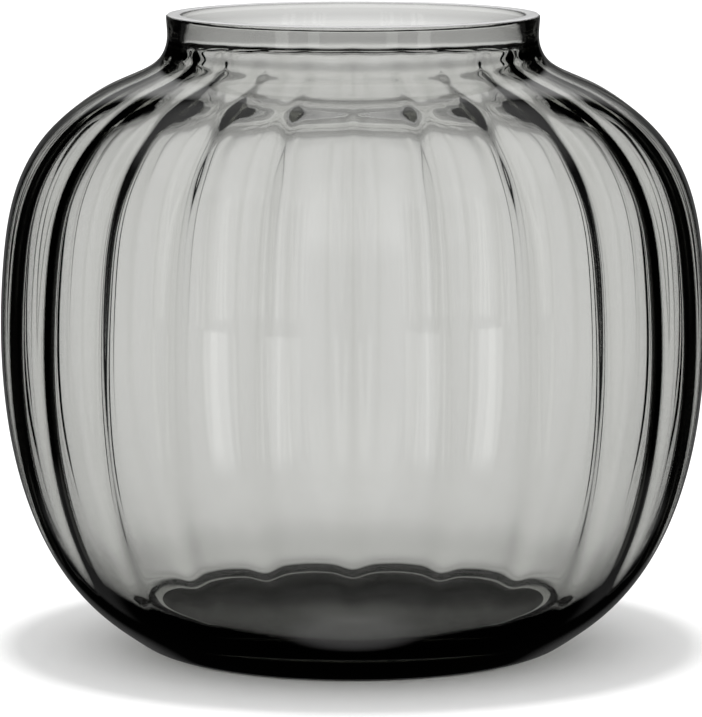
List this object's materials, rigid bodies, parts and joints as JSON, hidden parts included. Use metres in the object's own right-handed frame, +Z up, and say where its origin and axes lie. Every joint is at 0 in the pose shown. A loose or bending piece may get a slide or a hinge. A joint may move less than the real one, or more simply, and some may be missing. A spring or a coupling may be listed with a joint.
{
  "type": "blown glass vase",
  "caption": "Squat round-bodied vase in smoke-grey glass with a short open neck, a thick base and soft upright ribs on the inside, for cut flowers.",
  "frame": {"origin": "centre of the foot, on the plane that the vase stands on", "axes": "+Z up the axis of the vase from the foot to the rim; +X and +Y lie in the plane of the foot, each through the crest of an inside rib"},
  "size_m": [0.139, 0.139, 0.125],
  "materials": {
    "smoke_glass": "polished"
  },
  "bodies": {
    "root": {"vase_body": "smoke_glass"}
  },
  "joints": []
}
